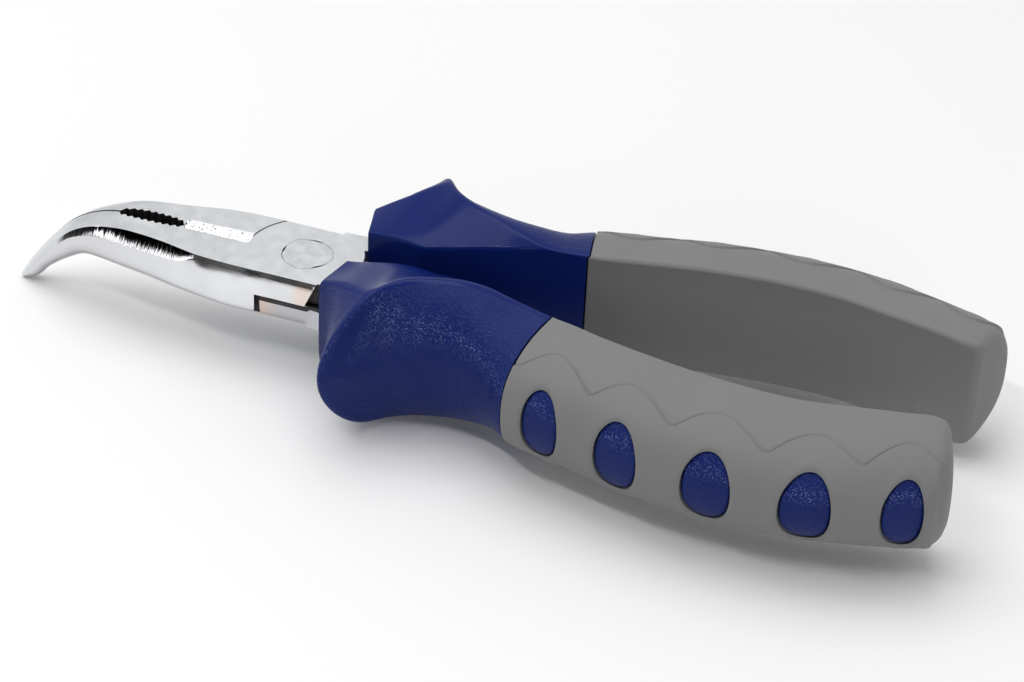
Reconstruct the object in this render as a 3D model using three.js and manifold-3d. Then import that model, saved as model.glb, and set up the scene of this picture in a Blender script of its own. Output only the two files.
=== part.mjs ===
// Needle nose pliers, 200 mm, with jaws bent downwards and two-colour handles.
//
// Frame: millimetres, +X from the pivot to the handle ends, +Z along the pivot axis, origin on the
// flat top of the joint, at the centre of the rivet. Two identical forged halves lap over each other
// at the joint: each one crosses from a jaw on one side of y = 0 to a handle on the other side.
// Every piece is drawn about the joint's mid-plane and the whole group is lowered by half the joint.

import * as THREE from 'three';
import { mergeVertices } from 'three/addons/utils/BufferGeometryUtils.js';
import Module from 'manifold-3d';

const wasm = await Module();
wasm.setup();

// ---- driving dimensions -------------------------------------------------------------------------

const GAP = 0.3; // clearance between neighbouring solids
const HALF_JOINT = 5; // half of the joint's thickness
const LAP_RADIUS = 12.4; // round lap of each half about the pivot, on the jaw side
const LAP_BACK_RADIUS = 11.4; // and on the handle side
const RIVET_RADIUS = 5;
const SLEEVE_WALL = 2.3; // soft grip over the hard core
const SEAM = 0.4; // groove between the collar and the grip
const TANG_SIDE_GAP = 0.3;

const TEETH = { start: -41, pitch: 1.56, count: 9, opening: 0.95, depth: 0.65 };
const CUTTER = { from: -26.8, to: -11, bevel: 2.5, notch: 0.9, edge: 4 };

// Jaw sections from the joint to the tip. x and z place the top of the section on the seam between
// the jaws, tilt is how far the nose has turned down, depth is the section's height across the nose,
// flat is the half width of the flat top, half the largest half width, and round the sharpness of the
// lower side (2 is an ellipse, higher is squarer).
const JAW_SECTIONS = [
  { x: -3, z: 5, tilt: 0, depth: 10, flat: 9.9, half: 10.6, round: 8 },
  { x: -14, z: 5, tilt: 0, depth: 10, flat: 9.8, half: 10.7, round: 8 },
  { x: -19, z: 4.95, tilt: 0, depth: 9.95, flat: 9.2, half: 10.4, round: 6 },
  { x: -25, z: 4.9, tilt: 1, depth: 9.9, flat: 8.4, half: 9.6, round: 5 },
  { x: -31, z: 4.8, tilt: 2, depth: 9.8, flat: 7.2, half: 8.6, round: 4 },
  { x: -37, z: 4.7, tilt: 4, depth: 9.7, flat: 5.7, half: 7.9, round: 3.5 },
  { x: -42, z: 4.4, tilt: 11, depth: 9.6, flat: 4.0, half: 7.2, round: 3 },
  { x: -47, z: 3.0, tilt: 25, depth: 8.9, flat: 2.6, half: 6.2, round: 2.7 },
  { x: -51.5, z: 0.2, tilt: 39, depth: 7.4, flat: 1.6, half: 4.9, round: 2.5 },
  { x: -56, z: -4.6, tilt: 49, depth: 5.6, flat: 1.0, half: 3.5, round: 2.3 },
  { x: -60.3, z: -10.0, tilt: 55, depth: 4.0, flat: 0.6, half: 2.4, round: 2.2 },
  { x: -63.2, z: -14.5, tilt: 59, depth: 2.8, flat: 0.5, half: 1.6, round: 2.1 },
  { x: -64.2, z: -16.2, tilt: 60, depth: 1.4, flat: 0.35, half: 0.8, round: 2 },
];

// Handle sections for the handle on the +Y side. inner is the upper corner of the flat inner face,
// ridge the upper edge of the outer side, outer the outermost point, at mid height (x, y only), and
// round the squareness of the curve from ridge to outer (2 is an ellipse).
const COLLAR_SECTIONS = [
  { inner: [10.8, 5.2, 9.8], ridge: [8.7, 14.0, 9.7], outer: [8.5, 14.6], round: 2.5 },
  { inner: [13.0, 5.1, 10.05], ridge: [12.0, 15.5, 11.4], outer: [10.8, 16.4], round: 2.45 },
  { inner: [15.0, 4.85, 10.4], ridge: [16.2, 17.4, 13.3], outer: [12.8, 20.2], round: 2.4 },
  { inner: [17.5, 4.4, 10.7], ridge: [19.6, 19.5, 14.4], outer: [14.4, 25.6], round: 2.3 },
  { inner: [20.0, 3.85, 10.8], ridge: [22.0, 20.2, 15.3], outer: [15.8, 32.2], round: 1.7 },
  { inner: [23.0, 3.4, 10.75], ridge: [25.4, 16.8, 16.1], outer: [20.5, 28.2], round: 1.45 },
  { inner: [26.0, 3.95, 11.05], ridge: [28.6, 14.4, 16.2], outer: [25.2, 23.9], round: 1.6 },
  { inner: [29.5, 4.8, 11.3], ridge: [32.5, 12.4, 16.0], outer: [30.5, 21.7], round: 1.9 },
  { inner: [34.0, 5.7, 12.0], ridge: [37.0, 10.6, 15.5], outer: [36.0, 20.5], round: 2.3 },
  { inner: [40.0, 6.9, 12.7], ridge: [42.0, 9.6, 14.5], outer: [42.5, 21.9], round: 2.4 },
  { inner: [47.0, 9.3, 12.7], ridge: [48.0, 9.6, 12.85], outer: [47.5, 25.0], round: 2.4 },
];
const SEAM_SECTION =
  { inner: [54.7, 10.8, 12.05], ridge: [55.0, 11.2, 12.4], outer: [51.3, 28.2], round: 2.45 };
const GRIP_SECTIONS = [
  { inner: [59.5, 11.7, 11.95], ridge: [59.7, 12.3, 12.5], outer: [58.0, 29.8], round: 2.45 },
  { inner: [66.0, 13.3, 11.9], ridge: [66.0, 13.9, 12.45], outer: [65.5, 31.6], round: 2.4 },
  { inner: [74.0, 15.0, 11.95], ridge: [74.0, 15.6, 12.5], outer: [74.0, 33.6], round: 2.45 },
  { inner: [84.0, 16.6, 11.95], ridge: [84.0, 17.2, 12.5], outer: [84.0, 35.4], round: 2.4 },
  { inner: [95.0, 17.5, 11.9], ridge: [95.0, 18.1, 12.45], outer: [95.0, 36.1], round: 2.4 },
  { inner: [106.0, 17.2, 11.65], ridge: [106.0, 17.8, 12.2], outer: [106.0, 36.1], round: 2.35 },
  { inner: [116.0, 15.3, 11.65], ridge: [116.0, 15.9, 12.2], outer: [116.0, 34.7], round: 2.25 },
  { inner: [125.0, 13.5, 11.65], ridge: [125.0, 14.1, 12.25], outer: [125.0, 31.5], round: 2.4 },
  { inner: [130.8, 12.1, 11.35], ridge: [131.0, 12.8, 12.1], outer: [131.8, 28.9], round: 2.5 },
];
const GRIP_END = [
  { inner: [132.7, 12.3, 10.8], ridge: [133.0, 13.1, 11.6], outer: [135.0, 27.6], round: 2.5 },
  { inner: [133.7, 13.2, 9.7], ridge: [134.1, 14.1, 10.5], outer: [136.1, 25.6], round: 2.35 },
  { inner: [134.2, 14.6, 8.2], ridge: [134.7, 15.4, 8.9], outer: [136.5, 22.8], round: 2.2 },
];
const SPINE_END = 130; // hard core inside the grip stops here

// Five finger pads of the core stand in windows of the grip, level with its surface.
const PADS = [
  { x: 59.8, halfWidth: 3.8 },
  { x: 76.0, halfWidth: 4.35 },
  { x: 94.2, halfWidth: 4.75 },
  { x: 112.8, halfWidth: 4.7 },
  { x: 129.8, halfWidth: 3.6 },
];
const PAD_HALF_HEIGHT = 7.3;
const PAD_SINK = 0.3; // pad face below the grip's surface

// Steel tang inside each handle: centre line and half sizes.
const TANG = [
  { x: 4, y: 7.0, half: 3.2, height: HALF_JOINT },
  { x: 10, y: 8.1, half: 2.5, height: HALF_JOINT },
  { x: 13, y: 8.6, half: 2.5, height: HALF_JOINT },
  { x: 24, y: 9.6, half: 2.8, height: 4.8 },
  { x: 40, y: 13.4, half: 2.8, height: 4.4 },
  { x: 55, y: 18.0, half: 2.6, height: 4.2 },
  { x: 72, y: 22.4, half: 2.4, height: 4.0 },
  { x: 92, y: 25.2, half: 2.2, height: 3.6 },
];

const COLOURS = { steel: 0xc9cbce, rivet: 0xb9bbbe, core: 0x1d2c72, grip: 0x7f8080 };

// ---- solids and geometry ------------------------------------------------------------------------

// A solid for joining and cutting, from any closed three.js geometry.
function solidOf(geometry) {
  const bare = geometry.clone();
  bare.deleteAttribute('normal');
  bare.deleteAttribute('uv');
  const merged = mergeVertices(bare, 1e-4);
  return new wasm.Manifold(new wasm.Mesh({
    numProp: 3,
    vertProperties: new Float32Array(merged.attributes.position.array),
    triVerts: new Uint32Array(merged.index.array),
  }));
}

function geometryOf(solid) {
  const mesh = solid.getMesh();
  const geometry = new THREE.BufferGeometry();
  geometry.setAttribute('position', new THREE.BufferAttribute(mesh.vertProperties, 3));
  geometry.setIndex(new THREE.BufferAttribute(mesh.triVerts, 1));
  geometry.computeVertexNormals();
  return geometry;
}

function signedVolume(points, triangles) {
  let sum = 0;
  for (const [a, b, c] of triangles) {
    sum += points[a].dot(new THREE.Vector3().crossVectors(points[b], points[c]));
  }
  return sum;
}

// A closed body through rings with equal point counts; the two ends are fans about their centres.
function loft(rings) {
  const count = rings[0].length;
  const points = rings.flat();
  const triangles = [];
  for (let r = 0; r < rings.length - 1; r += 1) {
    for (let i = 0; i < count; i += 1) {
      const a = r * count + i;
      const b = r * count + ((i + 1) % count);
      triangles.push([a, b, b + count], [a, b + count, a + count]);
    }
  }
  for (const [ring, flip] of [[0, true], [rings.length - 1, false]]) {
    const centre = new THREE.Vector3();
    rings[ring].forEach((point) => centre.addScaledVector(point, 1 / count));
    const hub = points.push(centre) - 1;
    for (let i = 0; i < count; i += 1) {
      const a = ring * count + i;
      const b = ring * count + ((i + 1) % count);
      triangles.push(flip ? [hub, b, a] : [hub, a, b]);
    }
  }
  const inward = signedVolume(points, triangles) < 0;
  const order = inward ? triangles.map(([a, b, c]) => [a, c, b]) : triangles;
  const geometry = new THREE.BufferGeometry().setFromPoints(points);
  geometry.setIndex(order.flat());
  return solidOf(geometry);
}

// A prism of an outline in the XY plane, between two heights.
function prism(outline, low, high) {
  const shape = new THREE.Shape(outline.map(([x, y]) => new THREE.Vector2(x, y)));
  const geometry = new THREE.ExtrudeGeometry(shape, { depth: high - low, bevelEnabled: false });
  return solidOf(geometry.translate(0, 0, low));
}

function disc(radius, low, high, sides) {
  const geometry = new THREE.CylinderGeometry(radius, radius, high - low, sides);
  geometry.rotateX(Math.PI / 2);
  return solidOf(geometry.translate(0, 0, (low + high) / 2));
}

function block(x0, x1, y0, y1, z0, z1) {
  const geometry = new THREE.BoxGeometry(x1 - x0, y1 - y0, z1 - z0);
  return solidOf(geometry.translate((x0 + x1) / 2, (y0 + y1) / 2, (z0 + z1) / 2));
}

// The round of the lap, larger on the jaw side than on the handle side.
function lapRound(grow, low, high) {
  const reach = 2 * LAP_RADIUS;
  const jawSide = disc(LAP_RADIUS + grow, low, high, 40)
    .subtract(block(0, reach, -reach, reach, low - 1, high + 1));
  return jawSide.add(disc(LAP_BACK_RADIUS + grow, low, high, 40));
}

const mirrorY = (solid) => solid.mirror([0, 1, 0]);
const turnOver = (solid) => solid.mirror([0, 1, 0]).mirror([0, 0, 1]);

// ---- forged halves ------------------------------------------------------------------------------

const HALF_SEAM = GAP / 2;
const SIDE_STEPS = 4;

// Half a jaw section, on the +Y side of the seam.
function jawRing({ x, z, tilt, depth, flat, half, round }) {
  const angle = THREE.MathUtils.degToRad(tilt);
  const place = (y, down) => new THREE.Vector3(
    x + down * Math.sin(angle), Math.max(y, HALF_SEAM), z - down * Math.cos(angle));
  const middle = depth * 0.52;
  const ring = [place(0, 0), place(flat, 0)];
  for (let i = 1; i <= SIDE_STEPS; i += 1) {
    const t = i / SIDE_STEPS;
    ring.push(place(flat + (half - flat) * Math.sin(t * Math.PI / 2), middle * t));
  }
  for (let i = 1; i <= SIDE_STEPS; i += 1) {
    const t = Math.PI / 2 * i / SIDE_STEPS;
    const down = middle + (depth - middle) * Math.sin(t) ** (2 / round);
    ring.push(place(half * Math.max(Math.cos(t), 0) ** (2 / round), i < SIDE_STEPS ? down : depth));
  }
  return ring;
}

// Opening between the jaws with a row of teeth on each side.
function teethCutter() {
  const { start, pitch, count, opening, depth } = TEETH;
  const side = [[start - pitch, 0]];
  for (let i = 0; i <= 2 * count; i += 1) {
    const t = i / (2 * count);
    const lens = Math.sqrt(Math.max(1 - (2 * t - 1) ** 2, 0));
    side.push([start + i * pitch / 2, opening * (0.25 + 0.75 * lens) + (i % 2) * depth]);
  }
  const end = start + count * pitch;
  side.push([end + 0.3, 0]);
  const other = side.slice(1, -1).reverse().map(([x, y]) => [x, -y]);
  return prism([...side, ...other], -2 * HALF_JOINT, 2 * HALF_JOINT);
}

// Wire cutter: a bevel on one jaw and a shallow notch on the other, and the same turned over.
function wireCutter() {
  const { from, to, bevel, notch, edge } = CUTTER;
  const shape = new THREE.Shape([
    new THREE.Vector2(0, edge),
    new THREE.Vector2(bevel, HALF_JOINT + 0.1),
    new THREE.Vector2(-notch, HALF_JOINT + 0.1),
    new THREE.Vector2(-notch, edge),
  ]);
  const geometry = new THREE.ExtrudeGeometry(shape, { depth: to - from, bevelEnabled: false });
  geometry.applyMatrix4(new THREE.Matrix4().makeBasis(
    new THREE.Vector3(0, 1, 0), new THREE.Vector3(0, 0, 1), new THREE.Vector3(1, 0, 0)));
  const top = solidOf(geometry.translate(from, 0, 0));
  return top.add(turnOver(top));
}

function tang(grow) {
  return loft(TANG.map(({ x, y, half, height }) => {
    const w = half + grow;
    const h = height + grow;
    return [[-w, -h], [w, -h], [w, h], [-w, h]].map(([dy, dz]) => new THREE.Vector3(x, y + dy, dz));
  }));
}

// Barrel of the joint: the jaw section at the joint, carried straight across the pivot.
function jointBarrel() {
  const section = JAW_SECTIONS[0];
  const side = [-LAP_RADIUS - 1, LAP_RADIUS + 1].map((x) => jawRing({ ...section, x }));
  const half = loft(side);
  const core = block(-LAP_RADIUS - 1, LAP_RADIUS + 1, -1, 1, -HALF_JOINT, HALF_JOINT);
  return half.add(mirrorY(half)).add(core);
}

const jaw = loft(JAW_SECTIONS.map(jawRing)).subtract(teethCutter()).subtract(wireCutter());
const mirroredJaw = loft(JAW_SECTIONS.map(jawRing).map((ring) => ring.map(
  (p) => new THREE.Vector3(p.x, -p.y, p.z)))).subtract(teethCutter()).subtract(wireCutter());

// The upper half: jaw at -Y, upper lap, tang at +Y.
function upperHalf() {
  const lower = lapRound(GAP, -2 * HALF_JOINT, HALF_SEAM);
  const lap = jointBarrel()
    .intersect(lapRound(0, HALF_SEAM, HALF_JOINT))
    .add(tang(0).subtract(lower));
  return mirroredJaw.subtract(lower)
    .subtract(disc(LAP_RADIUS - 1, -2 * HALF_JOINT, 2 * HALF_JOINT, 40))
    .add(lap)
    .subtract(disc(RIVET_RADIUS + GAP, -2 * HALF_JOINT, 2 * HALF_JOINT, 32));
}

// The lower half: jaw at +Y, lower lap, tang at -Y.
function lowerHalf() {
  const upper = lapRound(GAP, -HALF_SEAM, 2 * HALF_JOINT);
  const lap = jointBarrel()
    .intersect(lapRound(0, -HALF_JOINT, -HALF_SEAM))
    .add(mirrorY(tang(0)).subtract(upper));
  return jaw.subtract(upper)
    .subtract(disc(LAP_RADIUS - 1, -2 * HALF_JOINT, 2 * HALF_JOINT, 40))
    .add(lap)
    .subtract(disc(RIVET_RADIUS + GAP, -2 * HALF_JOINT, 2 * HALF_JOINT, 32));
}

// ---- handles ------------------------------------------------------------------------------------

const OUTER_STEPS = 7;

// Between these stations the sections change from leaning straight to bowing with the outer curve.
const BOW_START = 40;
const BOW_END = 52;

// One ring of the handle's skin, moved inwards by inset and along X by shift.
function handleRing({ inner, ridge, outer, round }, inset = 0, shift = 0) {
  const half = [];
  const bow = THREE.MathUtils.smoothstep(ridge[0], BOW_START, BOW_END);
  half.push(new THREE.Vector3(inner[0] + shift, inner[1] + inset, 0));
  half.push(new THREE.Vector3(inner[0] + shift, inner[1] + inset, inner[2] - inset));
  for (let i = 0; i <= OUTER_STEPS; i += 1) {
    const angle = Math.PI / 2 * (1 - i / OUTER_STEPS);
    const out = i === 0 ? 0 : Math.cos(angle) ** (2 / round);
    const up = i === OUTER_STEPS ? 0 : Math.sin(angle) ** (2 / round);
    half.push(new THREE.Vector3(
      ridge[0] + (outer[0] - ridge[0]) * ((1 - up * up) * (1 - bow) + out * bow) + shift,
      ridge[1] + inset + (outer[1] - ridge[1] - inset * 2) * out,
      (ridge[2] - inset) * up));
  }
  const lower = half.slice(1, -1).reverse().map((p) => new THREE.Vector3(p.x, p.y, -p.z));
  return [...half, ...lower];
}

function pads(grow, sink) {
  const skin = loft([SEAM_SECTION, ...GRIP_SECTIONS, ...GRIP_END].map((s) => handleRing(s, sink)));
  let all = null;
  for (const { x, halfWidth } of PADS) {
    const outline = [];
    for (let i = 0; i < 20; i += 1) {
      const t = i / 20 * 2 * Math.PI;
      outline.push([(halfWidth + grow) * Math.cos(t), (PAD_HALF_HEIGHT + grow) * Math.sin(t)]);
    }
    const plug = prism(outline, 0, 20).rotate([-90, 0, 0]).translate([x, 24, 0]);
    all = all ? all.add(plug) : plug;
  }
  return all.intersect(skin);
}

const INSIDE = [COLLAR_SECTIONS.at(-1), SEAM_SECTION, ...GRIP_SECTIONS];

function inside(inset, end) {
  const rings = INSIDE.map((section) => handleRing(section, inset));
  return loft(rings).subtract(block(end, end + 20, 0, 60, -30, 30));
}

// Hard core: collar with its guard, spine under the grip, and the five pads.
function handleCore() {
  return loft([...COLLAR_SECTIONS, SEAM_SECTION].map((section) => handleRing(section)))
    .add(inside(SLEEVE_WALL + GAP, SPINE_END))
    .add(pads(0, PAD_SINK))
    .subtract(tang(TANG_SIDE_GAP))
    .subtract(lapRound(GAP, -2 * HALF_JOINT, 2 * HALF_JOINT));
}

// Soft grip: a closed-ended sleeve over the spine with five windows.
function handleGrip() {
  const front = handleRing(SEAM_SECTION, 0, SEAM);
  const rest = [...GRIP_SECTIONS, ...GRIP_END].map((section) => handleRing(section));
  return loft([front, ...rest])
    .subtract(inside(SLEEVE_WALL, SPINE_END + GAP))
    .subtract(pads(GAP, -1));
}

// ---- assembly -----------------------------------------------------------------------------------

function addPiece(group, name, solid, colour, roughness, metalness) {
  const material = new THREE.MeshStandardMaterial({ color: colour, roughness, metalness });
  const mesh = new THREE.Mesh(geometryOf(solid), material);
  mesh.name = name;
  group.add(mesh);
}

const pliers = new THREE.Group();
pliers.position.z = -HALF_JOINT;

addPiece(pliers, 'lower_half', lowerHalf(), COLOURS.steel, 0.28, 1);
addPiece(pliers, 'upper_half', upperHalf(), COLOURS.steel, 0.28, 1);
addPiece(pliers, 'rivet', disc(RIVET_RADIUS, -HALF_JOINT, HALF_JOINT, 32), COLOURS.rivet, 0.35, 1);
const core = handleCore();
const grip = handleGrip();
addPiece(pliers, 'near_handle_core', mirrorY(core), COLOURS.core, 0.4, 0);
addPiece(pliers, 'near_handle_grip', mirrorY(grip), COLOURS.grip, 0.7, 0);
addPiece(pliers, 'far_handle_core', core, COLOURS.core, 0.4, 0);
addPiece(pliers, 'far_handle_grip', grip, COLOURS.grip, 0.7, 0);

export default pliers;
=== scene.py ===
"""Bent needle nose pliers with two-colour handles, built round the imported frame.

Shapes are drawn in millimetres about the joint's mid-plane, with +X to the handle ends, +Y to the
far handle and +Z along the pivot, and lowered by half the joint when they become Blender meshes.
"""
from math import cos, pi, radians, sin

import bpy
import numpy as np
from mathutils import Matrix, Vector
from mathutils.bvhtree import BVHTree


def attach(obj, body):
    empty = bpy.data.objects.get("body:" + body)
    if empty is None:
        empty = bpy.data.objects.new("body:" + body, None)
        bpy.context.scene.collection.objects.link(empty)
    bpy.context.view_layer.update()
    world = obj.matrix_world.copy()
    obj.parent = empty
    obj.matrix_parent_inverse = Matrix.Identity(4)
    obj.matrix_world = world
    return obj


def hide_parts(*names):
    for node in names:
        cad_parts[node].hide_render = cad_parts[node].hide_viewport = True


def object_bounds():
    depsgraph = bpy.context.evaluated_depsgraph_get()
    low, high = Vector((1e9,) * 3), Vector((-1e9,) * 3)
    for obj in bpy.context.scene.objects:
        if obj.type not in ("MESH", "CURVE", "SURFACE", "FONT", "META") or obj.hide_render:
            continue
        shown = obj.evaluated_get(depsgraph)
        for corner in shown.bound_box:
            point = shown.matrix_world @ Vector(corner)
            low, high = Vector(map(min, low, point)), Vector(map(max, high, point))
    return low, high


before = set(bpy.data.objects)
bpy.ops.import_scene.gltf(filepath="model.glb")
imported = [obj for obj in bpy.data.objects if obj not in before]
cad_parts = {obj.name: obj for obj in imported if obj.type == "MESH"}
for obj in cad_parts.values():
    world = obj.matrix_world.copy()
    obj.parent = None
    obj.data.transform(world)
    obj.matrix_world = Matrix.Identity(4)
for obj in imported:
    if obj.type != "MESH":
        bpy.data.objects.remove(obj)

cad_low, cad_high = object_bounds()

MM = 0.001
HALF_JOINT = 5.0
HALF_SEAM = 0.15            # half of the gap between the two forged halves
GAP = 0.3                   # clearance between neighbouring pieces
SHARP = radians(32)         # a steeper turn between faces is a sharp edge
SLOTS = 6                   # material slots kept open on every body until it is finished

# ---- stations and sizes ----

# Handle on the +Y side: upper corner of the inner face (x, y, z), upper edge of the outer side
# (x, y, z), outermost point at mid height (x, y), squareness of the outer curve.
COLLAR = [
    (10.8, 5.2, 9.8, 8.7, 14.0, 9.7, 8.5, 14.6, 2.5),
    (13.0, 5.1, 10.05, 12.0, 15.5, 11.4, 10.8, 16.4, 2.45),
    (15.0, 4.85, 10.4, 16.2, 17.4, 13.3, 12.8, 20.2, 2.4),
    (17.5, 4.4, 10.7, 19.6, 19.5, 14.4, 14.4, 25.6, 2.3),
    (20.0, 3.85, 10.8, 22.0, 20.2, 15.3, 15.8, 32.2, 1.7),
    (23.0, 3.4, 10.75, 25.4, 16.8, 16.1, 20.5, 28.2, 1.45),
    (26.0, 3.95, 11.05, 28.6, 14.4, 16.2, 25.2, 23.9, 1.6),
    (29.5, 4.8, 11.3, 32.5, 12.4, 16.0, 30.5, 21.7, 1.9),
    (34.0, 5.7, 12.0, 37.0, 10.6, 15.5, 36.0, 20.5, 2.3),
    (40.0, 6.9, 12.7, 42.0, 9.6, 14.5, 42.5, 21.9, 2.4),
    (47.0, 9.3, 12.7, 48.0, 9.6, 12.85, 47.5, 25.0, 2.4),
]
SEAM_STATION = (54.7, 10.8, 12.05, 55.0, 11.2, 12.4, 51.3, 28.2, 2.45)
GRIP = [
    (59.5, 11.7, 11.95, 59.7, 12.3, 12.5, 58.0, 29.8, 2.45),
    (66.0, 13.3, 11.9, 66.0, 13.9, 12.45, 65.5, 31.6, 2.4),
    (74.0, 15.0, 11.95, 74.0, 15.6, 12.5, 74.0, 33.6, 2.45),
    (84.0, 16.6, 11.95, 84.0, 17.2, 12.5, 84.0, 35.4, 2.4),
    (95.0, 17.5, 11.9, 95.0, 18.1, 12.45, 95.0, 36.1, 2.4),
    (106.0, 17.2, 11.65, 106.0, 17.8, 12.2, 106.0, 36.1, 2.35),
    (116.0, 15.3, 11.65, 116.0, 15.9, 12.2, 116.0, 34.7, 2.25),
    (125.0, 13.5, 11.65, 125.0, 14.1, 12.25, 125.0, 31.5, 2.4),
    (130.8, 12.1, 11.35, 131.0, 12.8, 12.1, 131.8, 28.9, 2.5),
    (132.7, 12.3, 10.8, 133.0, 13.1, 11.6, 135.3, 27.6, 2.5),
    (133.7, 13.2, 9.7, 134.1, 14.1, 10.5, 136.7, 25.6, 2.35),
    (134.2, 14.6, 8.2, 134.7, 15.4, 8.9, 137.2, 22.8, 2.2),
]
COLLAR_ROUND = (0.75, 0.9)  # radii of the collar's inner corner and of its upper edge
COLLAR_FRONT_ROUND = 0.45
COLLAR_PITCH = 0.42         # between rings
GRIP_PITCH = 0.36
GRIP_ROUND = (0.5, 0.9)
GRIP_FRONT_ROUND = 0.35
BARE_GRIP_ROUND = (0.7, 1.4)  # of the skin that the pads are set on
SPINE_ROUND = (1.2, 1.2)
SPINE_PITCH = 1.2           # between the stations of the spine and of the hollow round it
SLEEVE_WALL = 2.3
SPINE_END = 130.2
SEAM_GROOVE = 0.28          # how far the sleeve's first ring stands back from the collar
SEAM_GROOVE_ROWS = 7        # rings over which the groove runs out
BOW = (40, 12)              # from this x, over this length, the outer curve turns into the grip's

# Finger pads: centre x, half width; all share the half height and the centre height.
PADS = [(59.8, 3.8), (76.0, 4.35), (94.2, 4.75), (112.8, 4.7), (129.8, 3.6)]
PAD_HALF_HEIGHT = 7.3
PAD_CENTRE = 0.2
PAD_FULLNESS = 0.94         # 1 is an ellipse, less is fuller
PAD_SINK = 0.15             # depth of the pad's edge under the skin
PAD_FILLET = 0.7
PAD_DOME = 0.12
PAD_SHOULDER = 1.6          # depth under the skin at which the straight stem starts
STEM_DEPTH = 7.5
WINDOW_GAP = 0.16

# Scalloped edge of the raised field round the pads: x of its valleys, its lowest place on the outer
# curve in degrees up from mid height, and its rise from there.
SCALLOP_VALLEYS = [53.4, 69.0, 85.8, 104.1, 121.5, 137.0]
SCALLOP_LOW = 43.0
SCALLOP_RISE = 20.5
SCALLOP_LEAN = 0.87         # 1 is an even arch, less puts its top nearer the collar
SCALLOP_SOFTNESS = 0.03     # rounds the valleys between the arches
SCALLOP_FLOOR = 0.173       # root of the softness: the softened arch in a valley
SCALLOP_SPAN = 0.842        # from there to the softened arch's top
FIELD_HEIGHT = 0.36
FIELD_STEP = 0.34           # width of the step at the field's edge
FIELD_END = 135.4
FIELD_END_EASE = 2.2        # how much wider the step at the end of the field is
MOAT_DEPTH = 0.13           # the fine groove that follows the field's edge
MOAT_END_DEPTH = 0.3        # as a part of MOAT_DEPTH
MOAT_CENTRE = 0.38
MOAT_WIDTH = 0.30
LIP_HEIGHT = 0.14           # the raised lip round each window
LIP_CENTRE = 0.9
LIP_WIDTH = 0.9
LIP_REACH = 5               # beyond this distance from a window there is no lip
WINDOW_FALL = 0.3           # how far the sleeve's skin falls at the window's edge

# Steel tang in the handle: centre x, y, half width, half height.
TANG = [
    (4, 7.0, 3.2, 5.0), (10, 8.1, 2.5, 5.0), (13, 8.6, 2.5, 5.0), (24, 9.6, 2.8, 4.8),
    (40, 13.4, 2.8, 4.4), (55, 18.0, 2.6, 4.2), (72, 22.4, 2.4, 4.0), (92, 25.2, 2.2, 3.6),
]

# Jaw on the +Y side: x and z of the top at the seam, turn of the nose in degrees, depth, largest half
# width, squareness below, edge of the top (half width, drop), foot of the facet beside the top (half
# width, drop), roundness of the side above mid depth.
JAW = [
    (-3.0, 5.0, 0, 10.0, 10.6, 8, 9.35, 0.0, 9.85, 0.72, 2.1),
    (-14.0, 5.0, 0, 10.0, 10.7, 8, 9.3, 0.0, 9.8, 0.72, 2.1),
    (-19.0, 4.95, 0, 9.95, 10.45, 6, 8.95, 0.0, 9.4, 0.68, 2.0),
    (-20.6, 4.93, 0, 9.93, 10.3, 5.7, 8.75, 0.0, 9.35, 0.8, 1.6),
    (-22.2, 4.92, 0.5, 9.92, 10.1, 5.4, 8.45, 0.0, 9.45, 1.45, 1.6),
    (-24.0, 4.91, 0.8, 9.91, 9.85, 5.2, 8.05, 0.0, 9.45, 2.15, 1.6),
    (-26.0, 4.9, 1, 9.9, 9.55, 4.8, 7.6, 0.0, 9.2, 2.4, 1.6),
    (-28.0, 4.85, 1.5, 9.85, 9.2, 4.5, 7.15, 0.0, 8.9, 2.5, 1.5),
    (-31.0, 4.8, 2, 9.8, 8.7, 4, 6.6, 0.02, 8.4, 2.6, 1.5),
    (-34.0, 4.75, 3, 9.75, 8.3, 3.7, 6.2, 0.06, 8.0, 2.6, 1.5),
    (-37.0, 4.7, 4, 9.7, 7.9, 3.5, 5.8, 0.2, 7.6, 2.6, 1.5),
    (-42.0, 4.3, 11, 9.6, 7.2, 3, 5.0, 0.85, 6.75, 2.55, 1.5),
    (-47.0, 2.7, 25, 8.9, 6.2, 2.7, 4.05, 1.15, 5.7, 2.35, 1.5),
    (-51.5, -0.2, 39, 7.4, 4.9, 2.5, 3.15, 1.15, 4.35, 2.0, 1.6),
    (-56.0, -5.05, 49, 5.6, 3.5, 2.3, 2.3, 0.95, 2.85, 1.55, 1.8),
    (-60.3, -10.45, 55, 4.0, 2.4, 2.2, 1.6, 0.7, 1.9, 1.1, 1.8),
    (-63.2, -14.95, 59, 2.8, 1.6, 2.1, 1.05, 0.5, 1.2, 0.75, 1.8),
    (-64.2, -16.65, 60, 1.4, 0.8, 2, 0.5, 0.25, 0.6, 0.4, 1.8),
]
FACET_FROM, FACET_TO = -55, -20.5  # the part of the jaw whose facet is ground
FLAT_FROM = -45             # behind this x, level faces at the top and bottom are ground
FACET_BEND_FROM = -19       # the facet is hollow from here on, fully 4 mm further
FACET_BEND = 0.14
SEAM_EASE = 0.10            # bevel of the top edge at the seam
MID_DEPTH = 0.52            # depth of the jaw's widest line, as a part of the whole
LAP_RADIUS = 12.4
LAP_BACK_RADIUS = 11.4
RIVET_RADIUS = 5.0
RIVET_HEAD = 1.0            # depth of the peened head
RIVET_WAVES = [(3, 0.22, 0.6), (5, 0.14, 2.1), (11, 0.06, 1.0)]  # its edge: waves, size, start
SLOT_BACK, SLOT_FRONT = -9.0, -5.7  # the slot at the lap's side: its ends and its flat inner wall
SLOT_WALL = 9.7
POCKET_FRONT, POCKET_BACK = 3.7, 9.6  # the pocket behind the lap's side, the same way
POCKET_WALL = 8.9
THROUGH = 2 * HALF_JOINT    # a cut to here goes right through the joint

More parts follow.
